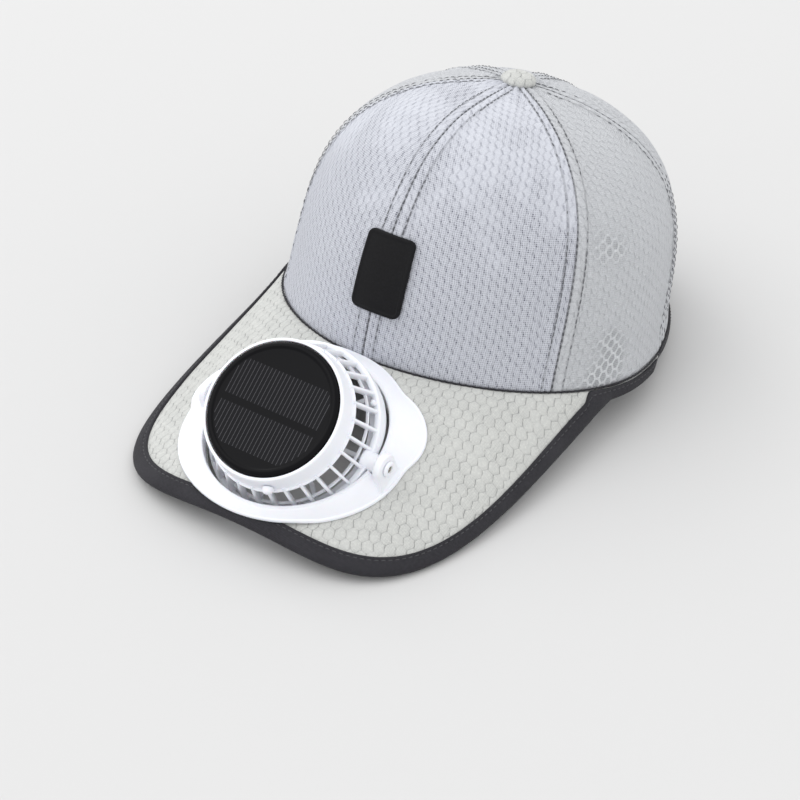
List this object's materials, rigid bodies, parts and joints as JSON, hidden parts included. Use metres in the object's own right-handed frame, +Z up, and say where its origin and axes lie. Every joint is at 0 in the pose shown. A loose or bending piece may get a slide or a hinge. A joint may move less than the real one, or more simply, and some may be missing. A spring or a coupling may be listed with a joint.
{
  "type": "solar fan cap",
  "caption": "Panelled mesh sun cap with a round solar fan that tilts in a ring set through the curved brim, resting open side down.",
  "frame": {"origin": "centre of the cap's footprint, on the surface it rests on", "axes": "+Z up, -Y to the brim's front edge, +X to the wearer's left"},
  "size_m": [0.1746, 0.2806, 0.124],
  "materials": {
    "lined_mesh": "fine lined mesh, matte",
    "open_mesh": "open honeycomb mesh, matte",
    "brim_cloth": "honeycomb knit, matte",
    "binding_cloth": "woven tape, matte",
    "patch_rubber": "satin moulded rubber",
    "white_plastic": "semi-gloss moulded plastic",
    "smoke_plastic": "smoke-tinted moulded plastic",
    "solar_glass": "clear resin over black solar cells",
    "screw_steel": "plated steel"
  },
  "bodies": {
    "cap": {"front_panel_left": "lined_mesh", "front_panel_right": "lined_mesh", "side_panel_left": "open_mesh", "side_panel_right": "open_mesh", "back_panel_left": "open_mesh", "back_panel_right": "open_mesh", "top_button": "lined_mesh", "front_patch": "patch_rubber", "brim": "brim_cloth", "brim_binding": "binding_cloth", "crown_hem": "binding_cloth", "fan_ring": "white_plastic"},
    "fan_head": {"fan_cage": "white_plastic", "pivot_screw_left": "screw_steel", "pivot_screw_right": "screw_steel", "solar_panel": "solar_glass", "motor": "screw_steel", "rear_guard": "white_plastic", "switch_knob": "white_plastic"},
    "fan_blades": {"impeller": "smoke_plastic"}
  },
  "joints": [
    {"name": "fan_tilt", "type": "hinge", "parent": "cap", "child": "fan_head", "pos_m": [0, -0.098, 0.0318], "axis": [1, 0, 0], "range_deg": [-45, 10]},
    {"name": "fan_spin", "type": "hinge", "parent": "fan_head", "child": "fan_blades", "pos_m": [0, -0.098, 0.0318], "axis": [0, -0.6252, 0.7804], "continuous": true}
  ]
}
